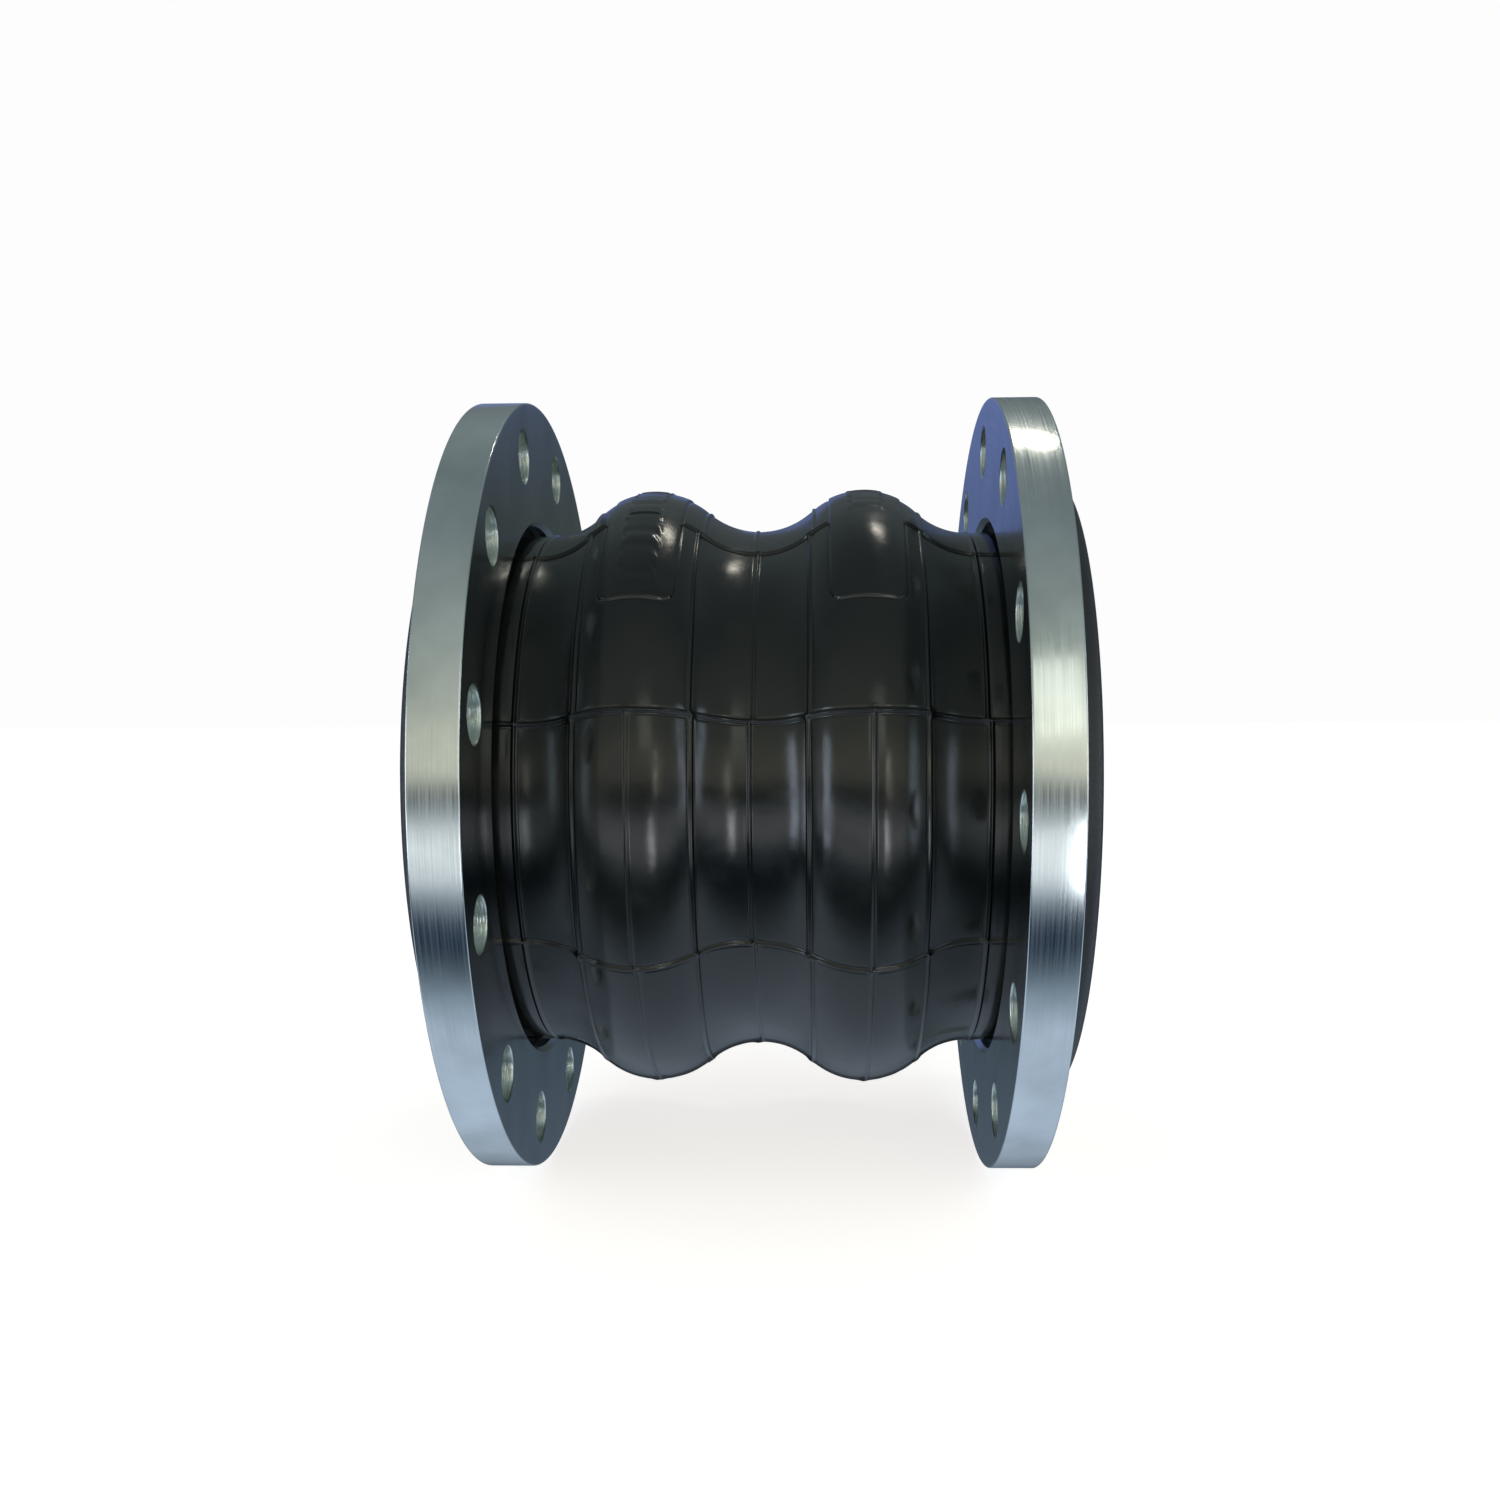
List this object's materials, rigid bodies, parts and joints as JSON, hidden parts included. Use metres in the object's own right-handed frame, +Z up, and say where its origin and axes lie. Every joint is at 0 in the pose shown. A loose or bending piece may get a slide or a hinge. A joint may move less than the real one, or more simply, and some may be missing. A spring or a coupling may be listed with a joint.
{
  "type": "rubber expansion joint",
  "caption": "Twin-arch rubber expansion joint with loose drilled steel flanges; squeezes, stretches, tilts and shifts between two pipes.",
  "frame": {"origin": "on the pipe axis, midway between the two sealing faces", "axes": "+X along the pipe axis from the left flange to the right one, +Z up through the label pads, -Y towards the viewer"},
  "size_m": [0.31, 0.405, 0.4049],
  "materials": {
    "zinc_plated_steel": "turned and zinc plated, satin bright",
    "cover_rubber": "moulded, glossy black",
    "tube_rubber": "smooth satin black",
    "seal_rubber": "matt black",
    "cord_fabric": "rubberised nylon tyre cord",
    "bead_steel": "brass-coated bead wire",
    "filler_rubber": "hard rubber",
    "wrap_fabric": "rubberised square-woven fabric",
    "root_steel": "plain rolled steel"
  },
  "bodies": {
    "left_flange": {"left_flange": "zinc_plated_steel"},
    "left_end": {"left_seal_ring": "seal_rubber", "left_bead_wires": "bead_steel", "left_bead_filler": "filler_rubber", "left_bead_wrap": "wrap_fabric"},
    "left_arch": {"left_label_pad": "cover_rubber"},
    "waist": {"root_ring": "root_steel", "outer_cover": "cover_rubber", "inner_tube": "tube_rubber", "cord_ply_1": "cord_fabric", "cord_ply_2": "cord_fabric", "cord_ply_3": "cord_fabric", "cord_ply_4": "cord_fabric"},
    "right_arch": {"right_label_pad": "cover_rubber"},
    "right_end": {"right_seal_ring": "seal_rubber", "right_bead_wires": "bead_steel", "right_bead_filler": "filler_rubber", "right_bead_wrap": "wrap_fabric"},
    "right_flange": {"right_flange": "zinc_plated_steel"}
  },
  "joints": [
    {"name": "left_swivel", "type": "hinge", "parent": "left_flange", "child": "left_end", "pos_m": [-0.1405, 0, 0], "axis": [1, 0, 0], "continuous": true},
    {"name": "left_tilt", "type": "hinge", "parent": "left_end", "child": "left_arch", "pos_m": [-0.0815, 0, 0], "axis": [0, 1, 0], "range_deg": [-11, 11], "stiffness_Nm_per_rad": 860, "deforming": ["outer_cover", "inner_tube", "cord_ply_1", "cord_ply_2", "cord_ply_3", "cord_ply_4"]},
    {"name": "left_squeeze", "type": "slide", "parent": "left_arch", "child": "waist", "axis": [-1, 0, 0], "range_m": [-0.015, 0.025], "stiffness_N_per_m": 160000, "deforming": ["outer_cover", "inner_tube", "cord_ply_1", "cord_ply_2", "cord_ply_3", "cord_ply_4"]},
    {"name": "right_squeeze", "type": "slide", "parent": "waist", "child": "right_arch", "axis": [-1, 0, 0], "range_m": [-0.015, 0.025], "stiffness_N_per_m": 160000, "deforming": ["outer_cover", "inner_tube", "cord_ply_1", "cord_ply_2", "cord_ply_3", "cord_ply_4"]},
    {"name": "right_tilt", "type": "hinge", "parent": "right_arch", "child": "right_end", "pos_m": [0.0815, 0, 0], "axis": [0, 1, 0], "range_deg": [-11, 11], "stiffness_Nm_per_rad": 860, "deforming": ["outer_cover", "inner_tube", "cord_ply_1", "cord_ply_2", "cord_ply_3", "cord_ply_4"]},
    {"name": "right_swivel", "type": "hinge", "parent": "right_end", "child": "right_flange", "pos_m": [0.1405, 0, 0], "axis": [1, 0, 0], "continuous": true}
  ],
  "couplings": [
    {"joint": "right_squeeze", "follows": "left_squeeze", "ratio": 1}
  ]
}
